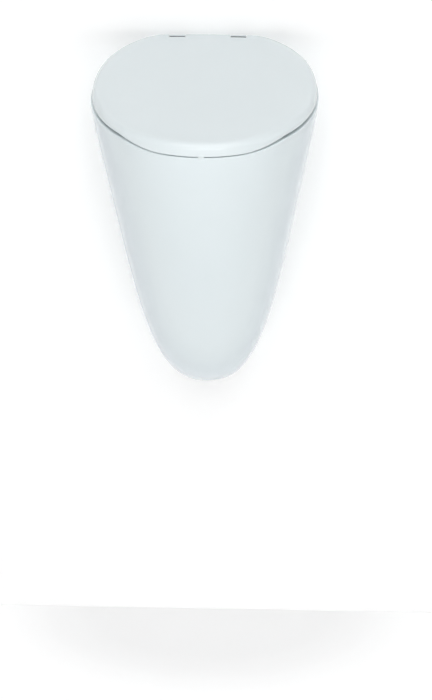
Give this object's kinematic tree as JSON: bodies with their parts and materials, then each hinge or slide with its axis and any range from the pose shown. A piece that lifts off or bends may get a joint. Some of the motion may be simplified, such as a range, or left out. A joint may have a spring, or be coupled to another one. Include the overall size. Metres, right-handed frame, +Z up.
{
  "type": "wall hung urinal",
  "caption": "Wall hung ceramic urinal with a deep tapering bowl, a hinged soft-close lid, a flush nozzle, a strainer and a concealed trap behind an open back.",
  "frame": {"origin": "on the wall plane, half way between the two wall fixing holes", "axes": "+Z up, +Y into the wall, so the bowl stands out along -Y; +X to the right for someone standing in front of it"},
  "size_m": [0.3214, 0.3414, 0.5751],
  "materials": {
    "sanitary_ceramic": "smooth fired glaze, pale cool white",
    "lid_plastic": "polished moulded thermoset, pale cool white",
    "white_plastic": "moulded, fine satin",
    "grey_plastic": "moulded, fine satin",
    "trap_plastic": "moulded polypropylene, satin",
    "steel": "turned stainless steel",
    "chrome": "polished plating",
    "seal_rubber": "black moulded seal",
    "clear_rubber": "pale translucent buffer"
  },
  "bodies": {
    "urinal": {"ceramic_body": "sanitary_ceramic", "hinge_pads": "seal_rubber", "hinge_foot_left": "steel", "hinge_foot_right": "steel", "hinge_post_left": "lid_plastic", "hinge_post_right": "lid_plastic", "hinge_pins": "steel", "hinge_studs": "steel", "hinge_sleeves": "seal_rubber", "hinge_washers": "white_plastic", "hinge_wing_nuts": "white_plastic", "fixing_sleeves": "white_plastic", "fixing_washers": "white_plastic", "fixing_nuts": "steel", "fixing_caps": "chrome", "inlet_seal": "seal_rubber", "nozzle_body": "white_plastic", "nozzle_disc": "chrome", "nozzle_screw": "steel", "waste_tube": "white_plastic", "strainer": "chrome", "strainer_screw": "chrome", "waste_gasket": "seal_rubber", "waste_nut": "trap_plastic", "trap_body": "trap_plastic", "trap_neck_seal": "seal_rubber", "dip_tube": "trap_plastic", "trap_cap_seal": "seal_rubber", "trap_cap": "trap_plastic", "outlet_spigot": "trap_plastic", "outlet_seal": "seal_rubber", "outlet_nut": "trap_plastic"},
    "lid": {"lid_shell": "lid_plastic", "lid_damper_left": "grey_plastic", "lid_damper_right": "grey_plastic", "hinge_bushes": "white_plastic", "lid_buffers": "clear_rubber", "front_stop": "clear_rubber"}
  },
  "joints": [
    {"name": "lid_hinge", "type": "hinge", "parent": "urinal", "child": "lid", "pos_m": [0, -0.013, 0.0802], "axis": [-1, 0, 0], "range_deg": [0, 98]}
  ]
}
